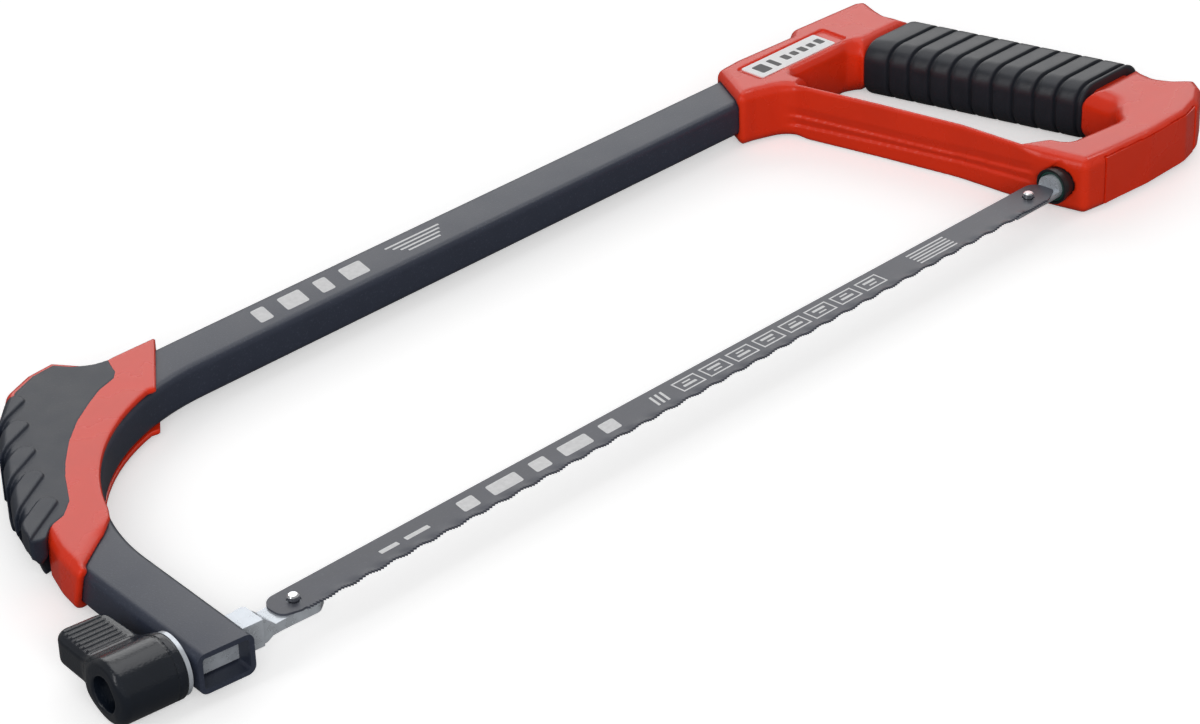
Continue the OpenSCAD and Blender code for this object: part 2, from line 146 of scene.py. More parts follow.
def nets(name, f, lo, hi, h, newton=2, world=None):
    """Closed quad mesh of the zero level of the distance field f(x, y, z)."""
    ax = [lo[i] + h * np.arange(int(math.ceil((hi[i] - lo[i]) / h)) + 1) for i in range(3)]
    F = f(ax[0][:, None, None], ax[1][None, :, None], ax[2][None, None, :])
    F = np.broadcast_to(F, tuple(len(a) for a in ax)).copy()
    F[F == 0] = 1e-9
    n = F.shape
    S = F < 0
    cells = tuple(k - 1 for k in n)
    tot, cnt = np.zeros(cells + (3,)), np.zeros(cells)
    for axis in range(3):
        sl0 = [slice(None)] * 3; sl1 = [slice(None)] * 3
        sl0[axis], sl1[axis] = slice(0, n[axis] - 1), slice(1, n[axis])
        A, B = F[tuple(sl0)], F[tuple(sl1)]
        cross = (A < 0) != (B < 0)
        t = np.where(cross, A / np.where(cross, A - B, 1), 0)
        others = [k for k in range(3) if k != axis]
        for s1 in (0, 1):
            for s2 in (0, 1):
                sl = [slice(None)] * 3
                sl[others[0]] = slice(s1, n[others[0]] - 1 + s1)
                sl[others[1]] = slice(s2, n[others[1]] - 1 + s2)
                c, tt = cross[tuple(sl)], t[tuple(sl)]
                cnt += c
                tot[..., axis] += c * tt
                tot[..., others[0]] += c * s1
                tot[..., others[1]] += c * s2
    act = cnt > 0
    idx = -np.ones(cells, int)
    idx[act] = np.arange(act.sum())
    I = np.argwhere(act)
    V = np.array(lo, float) + h * (I + tot[act] / cnt[act][:, None])
    quads = []
    for axis in range(3):
        b, c = (axis + 1) % 3, (axis + 2) % 3
        sl0 = [slice(1, n[k] - 1) for k in range(3)]; sl1 = list(sl0)
        sl0[axis], sl1[axis] = slice(0, n[axis] - 1), slice(1, n[axis])
        A, B = S[tuple(sl0)], S[tuple(sl1)]
        for inside_first in (True, False):
            E = np.argwhere(A & ~B if inside_first else ~A & B)
            if not len(E):
                continue
            E = E + np.array([0 if k == axis else 1 for k in range(3)])
            q = []
            for db, dc in ((-1, -1), (0, -1), (0, 0), (-1, 0)):
                C = E.copy(); C[:, b] += db; C[:, c] += dc
                q.append(idx[C[:, 0], C[:, 1], C[:, 2]])
            q = np.stack(q, 1)
            quads.append(q if inside_first else q[:, ::-1])
    quads = np.concatenate(quads)
    for _ in range(newton):
        e = 0.12 * h
        d = f(V[:, 0], V[:, 1], V[:, 2])
        g = np.stack([(f(*(V + np.eye(3)[k] * e).T) - d) / e for k in range(3)], 1)
        n2 = np.maximum((g ** 2).sum(1), 0.3)
        stepv = -g * (d / n2)[:, None]
        ln = np.linalg.norm(stepv, axis=1)
        stepv *= np.minimum(1, 0.6 * h / np.maximum(ln, 1e-9))[:, None]
        V = V + stepv
    if world is not None:
        V = world(V)
    return make_mesh(name, V, quads)


# ------------------------------------------------------------------ materials
def lin(h):
    c = [int(h[i:i + 2], 16) / 255 for i in (1, 3, 5)]
    return tuple(x / 12.92 if x <= 0.04045 else ((x + 0.055) / 1.055) ** 2.4 for x in c)


def material(name, color, rough=0.4, metal=0.0, spec=0.5, coat=0.0, coat_rough=0.1,
             grain=0.0, grain_mm=0.4, dist=0.00005, blotch=0.06, blotch_mm=14.0, speck=0.0, speck_mm=0.5,
             rvar=0.08, stretch=(1, 1, 1), edge=0.0):
    """Principled material: broad colour drift, fine grain bump, specks and worn edges."""
    m = bpy.data.materials.new(name)
    m.use_nodes = True
    t = m.node_tree
    nd, lk = t.nodes, t.links
    p = nd["Principled BSDF"]
    p.inputs["Metallic"].default_value = metal
    p.inputs["Specular IOR Level"].default_value = spec
    p.inputs["Coat Weight"].default_value = coat
    p.inputs["Coat Roughness"].default_value = coat_rough
    co = nd.new("ShaderNodeTexCoord")
    mp = nd.new("ShaderNodeMapping")
    mp.inputs["Scale"].default_value = stretch
    lk.new(co.outputs["Object"], mp.inputs["Vector"])

    def noise(mm, detail=3.0):
        k = nd.new("ShaderNodeTexNoise")
        k.inputs["Scale"].default_value = 1000.0 / mm
        k.inputs["Detail"].default_value = detail
        lk.new(mp.outputs["Vector"], k.inputs["Vector"])
        return k

    def remap(src, a, b, lo_, hi_):
        r = nd.new("ShaderNodeMapRange")
        r.inputs["From Min"].default_value = a
        r.inputs["From Max"].default_value = b
        r.inputs["To Min"].default_value = lo_
        r.inputs["To Max"].default_value = hi_
        lk.new(src, r.inputs["Value"])
        return r.outputs["Result"]

    big = noise(blotch_mm, 4.0)
    hsv = nd.new("ShaderNodeHueSaturation")
    hsv.inputs["Color"].default_value = (*color, 1)
    lk.new(remap(big.outputs["Fac"], 0.3, 0.7, 1 - blotch, 1 + blotch), hsv.inputs["Value"])
    out = hsv.outputs["Color"]
    if speck:
        sp = noise(speck_mm, 1.0)
        mix = nd.new("ShaderNodeMix"); mix.data_type = "RGBA"
        mix.inputs["B"].default_value = (*[min(1, c * 2.2 + 0.03) for c in color], 1)
        lk.new(out, mix.inputs["A"])
        lk.new(remap(sp.outputs["Fac"], 0.62, 0.75, 0, speck), mix.inputs["Factor"])
        out = mix.outputs["Result"]
    if edge:
        ge = nd.new("ShaderNodeNewGeometry")
        mix = nd.new("ShaderNodeMix"); mix.data_type = "RGBA"
        mix.inputs["B"].default_value = (*[min(1, c * 1.5 + 0.06) for c in color], 1)
        lk.new(out, mix.inputs["A"])
        lk.new(remap(ge.outputs["Pointiness"], 0.52, 0.6, 0, edge), mix.inputs["Factor"])
        out = mix.outputs["Result"]
    lk.new(out, p.inputs["Base Color"])
    lk.new(remap(big.outputs["Fac"], 0.3, 0.7, rough * (1 - rvar), rough * (1 + rvar)), p.inputs["Roughness"])
    if grain:
        fine = noise(grain_mm, 2.0)
        bp = nd.new("ShaderNodeBump")
        bp.inputs["Strength"].default_value = grain
        bp.inputs["Distance"].default_value = dist
        lk.new(fine.outputs["Fac"], bp.inputs["Height"])
        lk.new(bp.outputs["Normal"], p.inputs["Normal"])
    return m


RED = material("red_plastic", (0.82, 0.036, 0.008), rough=0.27, spec=0.45, grain=0.10, grain_mm=0.5, blotch=0.04, blotch_mm=18)
COAT = material("powder_coat", (0.031, 0.038, 0.060), rough=0.38, spec=0.5, grain=0.55, grain_mm=0.35, dist=0.00006, speck=0.35, speck_mm=0.55, blotch=0.05)
BLADE = material("painted_blade", (0.063, 0.068, 0.088), rough=0.36, spec=0.45, grain=0.3, grain_mm=0.3, blotch=0.09, blotch_mm=9, speck=0.15, stretch=(0.5, 1, 1))
RUBBER = material("dark_rubber", (0.018, 0.023, 0.036), rough=0.44, spec=0.45, grain=0.5, grain_mm=0.3, dist=0.00005, blotch=0.10, blotch_mm=7, speck=0.25, speck_mm=0.4)
GRIP = material("grip_rubber", (0.018, 0.021, 0.028), rough=0.36, spec=0.45, grain=0.45, grain_mm=0.35, dist=0.00005, blotch=0.12, blotch_mm=6, speck=0.2, speck_mm=0.35)
BLACK = material("black_plastic", (0.006, 0.009, 0.015), rough=0.20, spec=0.6, grain=0.75, grain_mm=0.6, dist=0.00008, speck=0.1, speck_mm=0.5, blotch=0.1, blotch_mm=8)
BLACKG = material("grommet_plastic", (0.012, 0.012, 0.014), rough=0.35, grain=0.2)
ZINC = material("zinc_steel", (0.62, 0.66, 0.71), rough=0.30, metal=0.45, grain=0.25, grain_mm=0.8, blotch=0.10, blotch_mm=3.0, rvar=0.3)
PIN = material("pin_steel", (0.80, 0.81, 0.83), rough=0.22, metal=1.0, grain=0.1, grain_mm=0.5, blotch=0.06, blotch_mm=2)
SEAL = material("seal_rubber", (0.012, 0.055, 0.045), rough=0.35, grain=0.2)
BRASS = material("brass_nut", (0.6, 0.45, 0.2), rough=0.3, metal=1.0, grain=0.15)
WHITE = material("white_plate", (0.92, 0.92, 0.93), rough=0.35, grain=0.1, blotch=0.02)
PRINT = material("white_print", (0.75, 0.75, 0.76), rough=0.5, grain=0.3, grain_mm=0.3, blotch=0.08, blotch_mm=1.5)
INK = material("grey_ink", (0.06, 0.06, 0.065), rough=0.5, grain=0.1)


def put(ob, m, body=None):
    ob.data.materials.clear()
    ob.data.materials.append(m)
    if body:
        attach(ob, body)
    return ob


for node, m in dict(frame_tube=COAT, bumper_shell=RED, bumper_pad=RUBBER, handle_body=RED, heel_cover=RED, grip_sleeve=GRIP,
                    label_plate=WHITE, handle_screws=ZINC, holder_grommet=BLACKG, holder_oring=SEAL, anchor_plate=ZINC,
                    rear_holder=ZINC, retaining_pin=PIN, rear_blade_pin=PIN, saw_blade=BLADE, front_holder=ZINC,
                    front_blade_pin=PIN, knob_washer=ZINC, tension_knob=BLACK, knob_nut=BRASS).items():
    o = N[node]
    o.data.materials.clear()
    o.data.materials.append(m)

# ------------------------------------------------------------------ dimensions shared with the CAD, mm
THROAT, TUBE_W, TUBE_H, WALL, TR = 105.0, 17.0, 12.0, 1.5, 2.5
CX, CY, RB, SLANT = 58.1, 30.0, 75.0, math.radians(6)
HZ, BZ = 9.5, 7.75
AX0 = np.array([-22.0, -0.3])


def bow_s(X, Y):
    """distance from the inside of the bow, measured outwards across the tube"""
    dx, dy = X - CX, Y - CY
    rho = np.hypot(dx, dy) - RB
    nx, ny = -math.cos(SLANT), math.sin(SLANT)
    arm = dx * nx + dy * ny - RB
    along = dx * (-ny) + dy * nx      # > 0 before the arm starts
    return np.where(dx > 0, Y - THROAT, np.where((dy * math.cos(SLANT) + dx * math.sin(SLANT)) < 0, arm, rho))


def tube_sd(X, Y, Z, grow=0.0):
    return rrect_sd(bow_s(X, Y) - TUBE_W / 2, Z, TUBE_W / 2 + grow, TUBE_H / 2 + grow, TR + grow)


# ------------------------------------------------------------------ frame tube: swept section
def ring(w, h, r, n=7):
    pts = []
    for cx, cz, a0 in ((w - r, h / 2 - r, 0), (r, h / 2 - r, 90), (r, -h / 2 + r, 180), (w - r, -h / 2 + r, 270)):
        for k in range(n + 1):
            a = math.radians(a0 + 90 * k / n)
            pts.append((cx + r * math.cos(a), cz + r * math.sin(a)))
    return np.array(pts)


def bow_path(x_end, arm):
    """stations (point on the inside of the bow, outward normal)"""
    st = [((x, THROAT), (0.0, 1.0)) for x in np.linspace(x_end, CX + 2, 14)]
    for a in np.linspace(90, 174, 57):
        n = (math.cos(math.radians(a)), math.sin(math.radians(a)))
        st.append(((CX + RB * n[0], CY + RB * n[1]), n))
    n = (-math.cos(SLANT), math.sin(SLANT))
    d = (-math.sin(SLANT), -math.cos(SLANT))
    for t in np.linspace(0, arm, 8)[1:]:
        st.append(((CX + RB * n[0] + d[0] * t, CY + RB * n[1] + d[1] * t), n))
    return st


def build_tube():
    outer = ring(TUBE_W, TUBE_H, TR)
    inner = ring(TUBE_W - 2 * WALL, TUBE_H - 2 * WALL, TR - WALL)
    inner[:, 0] += WALL
    st = bow_path(318, 48)
    V, Fc = [], []
    m = len(outer)
    for (p, n) in st:
        for sec in (outer, inner):
            for s, z in sec:
                V.append((p[0] + n[0] * s, p[1] + n[1] * s, z))
    for i in range(len(st) - 1):
        a, b = i * 2 * m, (i + 1) * 2 * m
        for k in range(m):
            k2 = (k + 1) % m
            Fc.append((a + k, a + k2, b + k2, b + k))
            Fc.append((a + m + k2, a + m + k, b + m + k, b + m + k2))
    for base, flip in ((0, False), ((len(st) - 1) * 2 * m, True)):
        for k in range(m):
            k2 = (k + 1) % m
            q = (base + k, base + m + k, base + m + k2, base + k2)
            Fc.append(q[::-1] if flip else q)
    ob = make_mesh("bow_tube", V, Fc)
    # square passage of the draw bar through both walls
    cu = bpy.data.meshes.new("cut")
    s = 4.15
    cv = []
    for x in (-10, 30):
        for y in (-s, s):
            for z in (-s, s):
                a = math.radians(174)
                cv.append(((AX0[0] + OFF[0] + x * math.cos(a) - y * math.sin(a)) * MM, (AX0[1] + OFF[1] + x * math.sin(a) + y * math.cos(a)) * MM, (z + OFF[2]) * MM))
    cu.from_pydata(cv, [], [(0, 1, 3, 2), (4, 6, 7, 5), (0, 4, 5, 1), (2, 3, 7, 6), (0, 2, 6, 4), (1, 5, 7, 3)])
    co = bpy.data.objects.new("cut", cu)
    bpy.context.scene.collection.objects.link(co)
    mod = ob.modifiers.new("b", "BOOLEAN")
    mod.operation, mod.solver, mod.object = "DIFFERENCE", "EXACT", co
    dg = bpy.context.evaluated_depsgraph_get()
    me = bpy.data.meshes.new_from_object(ob.evaluated_get(dg))
    ob.modifiers.clear()
    ob.data = me
    bpy.data.objects.remove(co)
    me.set_sharp_from_angle(angle=math.radians(35))
    return ob


tube = put(build_tube(), COAT, "frame")
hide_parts("frame_tube")

# ------------------------------------------------------------------ nose bumper
CORE = [[57, 124.2, 0.3], [41, 124.4, 0.5], [38.5, 124.2, 1], [33, 125.4, 2], [28, 129.4, 2], [18.5, 131.2, 4], [11, 127.8, 5],
        [1, 117.2, 18], [-12, 97.8, 30], [-23, 79, 30], [-29.6, 62.8, 2], [-32.6, 55, 20], [-34.4, 47, 20], [-34.9, 42.4, 1], [-32, 42.4, 0.5]]
INNER = [[-31, 44.4, 2], [-22, 50.5, 8], [-12.6, 58, 1]] + \
        [[CX + (RB + 0.25) * math.cos(math.radians(a)), CY + (RB + 0.25) * math.sin(math.radians(a)), 0] for a in range(155, 106, -3)] + [[38.6, 101.4, 0.4]]
RIM = [[40.4, 124.0, 0.5], [36.8, 116.6, 2], [34, 114, 2], [27, 111.8, 6], [20.9, 108.4, 6], [12.5, 103.1, 10], [4.3, 96.2, 10],
       [-3, 88.6, 10], [-8.1, 82.2, 6], [-15, 71.6, 3], [-20.7, 66.8, 3], [-27, 65, 3], [-31, 61.6, 1]]
PAD_OUT = [[-35.6, 60.6, 1.5], [-26.5, 80, 30], [-15, 99.5, 30], [-2, 119, 18], [9, 130.6, 6], [19, 134.6, 4], [28.2, 135.4, 1.2], [31.8, 130.0, 5], [34.8, 125.4, 4]]
P_SHELL, P_PAD = rounded(CORE + INNER), rounded(RIM + PAD_OUT)
P_RIMSIDE = rounded(RIM + [[-80, 60, 0.1], [-80, 180, 0.1], [60, 180, 0.1]])
P_PADBIG = rounded(PAD_OUT + [[40, 123.2, 0.5], [20, 100, 1], [-20, 64, 1]])


def taper(Y, Z):
    return 3.2 * np.clip((95 - Y) / 33, 0, 1) * np.clip((3 - Z) / 10.75, 0, 1)


def shell_sd(X, Y, Z):
    d2 = sdpoly(P_SHELL, X, Y) + 3.8 * step(Y, 63.2, 66) * np.clip((92 - Y) / 28, 0, 1) * np.clip((2 - Z) / 9, 0, 1) * step(bow_s(X, Y), 3, 6)
    s = bow_s(X, Y)
    r = 0.9 + 2.3 * step(s, 2, 9) * (1 - step(X, 26, 42))
    d = rext(d2, np.abs(Z) - BZ, r)
    # rim round the pad's outer side, near the top of the nose
    big = rext(sdpoly(P_PADBIG, X, Y) - 0.45 * step(X, 2, 7), np.abs(Z) - (BZ - 0.15), 2.6)
    big = np.maximum(big, (3.0 - X) * 0.9)
    big = np.maximum(big, (X - 34))
    d = np.minimum(d, big)
    # open towards the throat between the two plates
    d = smax(d, -np.maximum(np.abs(Z) - 6.05, np.hypot(X - CX, Y - CY) - RB - 1.5), 0.3)
    # end face of the chin leans back towards the underside
    d = smax(d, (42.4 + (BZ - Z) * 0.335 - Y) * 0.948, 1.2)
    return np.maximum(d, -tube_sd(X, Y, Z, 0.05))


put(nets("nose_shell", shell_sd, (-37, 40, -9), (59, 138, 9), 0.55), RED, "frame")
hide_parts("bumper_shell")

# stepped edge of each rib in plan, from its inner end to the outer wall
RIBS = [((10.3, 122.7), (-6.6, 115.6)), ((2.9, 111.3), (-13.9, 104.0)), ((-4.3, 99.0), (-20.6, 90.8)),
        ((-10.7, 87.3), (-26.6, 77.9)), ((-16.6, 73.7), (-32.6, 64.4))]


def ribs_h(X, Y):
    """height of the five shingle-like ribs over the pad's face"""
    h = 0.0
    for E, W in RIBS:
        E, W = np.array(E), np.array(W)
        u = (W - E) / np.linalg.norm(W - E)
        v = np.array([u[1], -u[0]])
        v = v if v[1] > 0 else -v          # away from the stepped edge
        a = (X - E[0]) * u[0] + (Y - E[1]) * u[1]
        t = (X - E[0]) * v[0] + (Y - E[1]) * v[1]
        w = 5.6
        # plan outline: bar with a rounded inner end
        q1, q2 = np.abs(t - w / 2) - w / 2 + 2.7, -a + 2.7
        out = np.hypot(np.maximum(q1, 0), np.maximum(q2, 0)) + np.minimum(np.maximum(q1, q2), 0) - 2.7
        prof = step(-out, -0.35, 0.35) * (1 - 0.42 * np.clip(t / w, 0, 1))
        h = np.maximum(h, prof)
    return h


def pad_sd(X, Y, Z):
    h = ribs_h(X, Y)
    d2 = sdpoly(P_PAD, X, Y)
    d2 = d2 + taper(Y, Z) + 3.4 * np.clip((92 - Y) / 28, 0, 1) * np.clip((2 - Z) / 9, 0, 1) - 0.2 + 0.7 * step(Y, 112, 122) - 1.5 * h * (0.3 + 0.7 * step(Y, 64, 71))
    d2 = smax(d2, -((X + 31.5) * 0.425 + (Y - 61.4) * 0.905), 0.5)
    s = bow_s(X, Y)
    inner = sdpoly(P_RIMSIDE, X, Y)
    r = 0.5 + 2.4 * step(-inner, 5, 12)
    d2 = smax(d2, inner + 0.0, 0.2)
    d = rext(d2, np.abs(Z) - (BZ + 0.12) - 1.0 * h, r)
    return np.maximum(d, -tube_sd(X, Y, Z, 0.05))


put(nets("nose_pad", pad_sd, (-38, 57, -10), (42, 138, 10), 0.5), RUBBER, "frame")
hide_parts("bumper_pad")

# ------------------------------------------------------------------ handle
H_OUT = [[281.8, 103.4, 2], [292.3, 123.2, 3], [302, 124, 8], [327.5, 123, 2], [332, 126, 3], [362, 124.8, 2], [366, 122.5, 2.5],
         [363, 115, 5], [361.2, 109, 5], [364, 103.5, 4], [366.6, 99.05, 0.3],
         [337.6, 99.05, 0.3], [337.4, 101.5, 1.5], [334.5, 103.6, 2], [304, 103.6, 2.5],
         [308.4, 98, 8], [315.8, 66, 60], [321.2, 37, 60], [322.6, 12, 8], [326, 4.8, 4], [349, 2.2, 6], [355.6, 10, 6], [356.4, 23.25, 0.3],
         [385.6, 23.25, 0.3], [383.2, 18, 6], [382.4, 12, 8], [383.4, 7.2, 4], [387.6, 1.6, 1.3], [384, -3.4, 2], [376, -8.4, 6], [366, -11.3, 8],
         [347, -11.8, 20], [327, -10.4, 8], [317, -9, 3], [315, 0, 3], [312.8, 12, 30], [311.3, 37, 60], [305.9, 65.5, 60], [299, 98.2, 8], [288, 102.2, 6]]
P_HAND = rounded(H_OUT)
SEAT = rounded([[325.6, -14, 0], [325.6, -8.2, 0], [347, -9.2, 20], [366, -8.7, 8], [373.5, -6.6, 0.3], [374, -14, 0]])
GT, GB = np.array([352.1, 99.0]), np.array([371.3, 23.3])
GLEN = np.linalg.norm(GB - GT)
GU = (GB - GT) / GLEN
FY = [-12, 0, 12, 37, 65.5, 98.2, 103, 124]
FX = [317, 315, 312.8, 311.3, 305.9, 299, 286, 283]


def grip_sd(X, Y, Z, w, t, r):
    a = (X - GT[0]) * (-GU[1]) + (Y - GT[1]) * GU[0]
    return rrect_sd(a, Z, w / 2, t / 2, r)


def handle_sd(X, Y, Z):
    F = np.interp(Y, FY, FX)
    d2 = sdpoly(P_HAND, X, Y)
    back = X - F
    onguard = step(Y, 6, 16) * (1 - step(Y, 90, 98)) * (1 - step(back, 14, 18))
    # stepped lower band on the guard's outer face
    z2 = np.interp(Y, [8, 40, 65, 98], [-2.2, -3.6, -4.2, -5.0])
    z1 = np.interp(Y, [8, 40, 65, 98], [1.2, -1.2, -1.5, -1.6])
    near = (1 - step(back, 3, 5)) * step(Y, 7, 12) * (1 - step(Y, 95, 99))
    up1 = step(Z, z1 - 0.3, z1 + 0.3) * np.clip(1 - (Z - z1) / 3.4, 0, 1)
    up2 = step(Z, z2 - 0.3, z2 + 0.3) * np.clip((z1 - 0.3 - Z) / (z1 - 0.3 - z2), 0, 1)
    d2 = d2 + near * (0.75 * up1 + 0.8 * up2)
    r = 3.4 - 2.0 * onguard
    neck = step(X, 330, 338) * (1 - step(Y, 100.5, 108)) * step(Y, 60, 61) + step(X, 346, 354) * (1 - step(Y, 60, 61)) * step(Y, 2, 14)
    r = r + (6.7 - r) * np.clip(neck, 0, 1)
    d = rext(d2, np.abs(Z) - HZ - 0.2 * np.clip(neck, 0, 1), r)
    # sloped back of the guard
    zl = HZ - (back - 1.2) * 0.83
    zl = np.maximum(zl, 3.2) + 2.2 * np.maximum(0, Y - 96.5) + 1.3 * np.maximum(0, 14 - Y) + 3 * np.maximum(0, back - 17)
    d = smax(d, (np.abs(Z) - zl) * 0.77, 0.9)
    # core under the sleeve
    core = np.maximum(grip_sd(X, Y, Z, 22, 14, 5), np.maximum(Y - 106, 14 - Y))
    d = np.minimum(d, core)
    # socket, label recess
    d = np.maximum(d, -np.maximum(rrect_sd(Y - THROAT - TUBE_W / 2, Z, TUBE_W / 2 + 0.07, TUBE_H / 2 + 0.07, TR), X - 318.3))
    pocket = np.maximum(rrect_sd(X - 317.0, Y - 112.2, 21.2, 5.4, 0.8), (HZ - 0.8) - Z)
    d = smax(d, -pocket, 0.2)
    # grommet bore, diamond recess, rod bore, seat of the cover
    rho = np.hypot(Y, Z)
    d = np.maximum(d, -np.maximum(rho - 5.05, X - 320))
    d = smax(d, -np.maximum(np.maximum((np.abs(Y) + np.abs(Z)) * 0.7071 - 5.4, X - 315.4), 309 - X), 0.3)
    d = np.maximum(d, -np.maximum(rho - 4.3, X - 350))
    seat = np.maximum(sdpoly(SEAT, X, Y), np.abs(Z) - 8)
    d = np.maximum(d, -seat)
    cav = np.maximum(np.maximum(np.abs(X - 334.5) - 8.5, np.abs(Y + 3.5) - 10.5), np.abs(Z) - 7)
    d = np.maximum(d, -cav)
    # screw counterbores
    for x in (300, 311):
        d = np.maximum(d, -np.maximum(np.hypot(X - x, Y - 113.5) - 3.1, Z + HZ - 2.2))
    return d


put(nets("handle_shell", handle_sd, (279, -15, -11), (391, 129, 11), 0.6), RED, "frame")
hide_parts("handle_body")


# ------------------------------------------------------------------ grip sleeve
def build_sleeve():
    y_top, y_bot = 99.0, 23.3
    gy = [90.2 + (25.3 - 90.2) * k / 9 for k in range(10)]
    prof = [(y_top, 1.0), (y_top - 0.15, 0.45), (y_top - 0.5, 0.12), (y_top - 1.0, 0.0)]
    for y in gy:
        prof += [(y + 1.05, 0.0), (y + 0.80, 0.10), (y + 0.62, 0.45), (y + 0.52, 1.15), (y + 0.35, 1.32),
                 (y - 0.35, 1.32), (y - 0.52, 1.15), (y - 0.62, 0.45), (y - 0.80, 0.10), (y - 1.05, 0.0)]
        if y != gy[-1]:
            prof += [(y - 1.05 - (7.21 - 2.1) * t, 0.0) for t in (0.25, 0.5, 0.75)]
    prof += [(y_bot + 0.7, 0.0), (y_bot + 0.3, 0.15), (y_bot + 0.1, 0.45), (y_bot, 1.0)]
    n = 12
    K = 1 / abs(GU[1])

    def sec(y, w, t, r):
        cx = GT[0] + (y - GT[1]) * GU[0] / GU[1]
        pts = []
        for sx, sz, a0 in ((1, 1, 0), (-1, 1, 90), (-1, -1, 180), (1, -1, 270)):
            for k in range(n + 1):
                a = math.radians(a0 + 90 * k / n)
                pts.append((cx + (sx * (w / 2 - r) + r * math.cos(a)) * K, y, sz * (t / 2 - r) + r * math.sin(a)))
        return pts
    rows = [sec(y, 29 - 2 * i, 20 - 2 * i, 7 - i) for y, i in prof]
    rows += [sec(y_bot, 22.1, 14.1, 5.05), sec(y_top, 22.1, 14.1, 5.05)]
    m = len(rows[0])
    V = [p for rw in rows for p in rw]
    Fc = []
    R = len(rows)
    for i in range(R):
        j = (i + 1) % R
        for k in range(m):
            k2 = (k + 1) % m
            Fc.append((i * m + k, i * m + k2, j * m + k2, j * m + k))
    ob = make_mesh("grip_rubber", V, Fc)
    ob.data.set_sharp_from_angle(angle=math.radians(50))
    return ob


put(build_sleeve(), GRIP, "frame")
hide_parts("grip_sleeve")

# ------------------------------------------------------------------ tension knob, in the axis' own frame
DK, KL, KR, WR = 17.9, 19.0, 9.0, 27.0
WING = rounded([[DK + 0.6, -4, 0], [DK + KL - 1.3, -4, 0], [DK + KL - 1.4, 10, 0], [DK + KL - 1.7, WR, 4], [DK + 1.5, WR - 0.4, 4], [DK + 0.9, 10, 0]])


def knob_sd(X, Y, Z):
    Yw = -Y
    rho = np.hypot(Y, Z)
    xa = X - (DK + KL / 2)
    r = 0.7 + 1.3 * step(X, DK + 8, DK + 14)
    barrel = rext(rho - KR, np.abs(xa) - KL / 2, r)
    wing = rext(sdpoly(WING, X, Yw), np.abs(Z) - 4.6, 2.1)
    d = smin(barrel, wing, 5.0)
    # step near the washer
    d = smax(d, -(np.hypot((X - DK - 2.6) * 1.2, np.maximum(rho - KR, -5)) - 0.32), 0.15)
    # ribs on the wing
    for k in range(8):
        y0 = WR - 3.0 - k * 1.9
        bar = np.hypot(np.hypot(np.maximum(np.abs(X - (DK + 9.9)) - 5.2, 0), Yw - y0), (np.abs(Z) - 4.5)) - 0.6
        d = smin(d, bar, 0.25)
    hole = np.maximum(rho - 4.9, (DK + 9) - X)
    d = smax(d, -hole, 0.7)
    d = np.maximum(d, -np.maximum(rho - 3.4, X - DK - 6))
    hexd = np.maximum.reduce([np.abs(Y * math.cos(a) + Z * math.sin(a)) for a in (math.radians(30), math.radians(90), math.radians(150))]) - 5.02
    d = np.maximum(d, -np.maximum(hexd, np.abs(X - DK - 6.3) - 3.3))
    return d


def to_world(V):
    a = math.radians(174)
    return np.stack([AX0[0] + V[:, 0] * math.cos(a) - V[:, 1] * math.sin(a), AX0[1] + V[:, 0] * math.sin(a) + V[:, 1] * math.cos(a), V[:, 2]], 1)


put(nets("wing_knob", knob_sd, (DK - 1, -28.6, -10), (DK + KL + 1, 10.5, 10), 0.38, world=to_world), BLACK, "knob")
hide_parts("tension_knob")


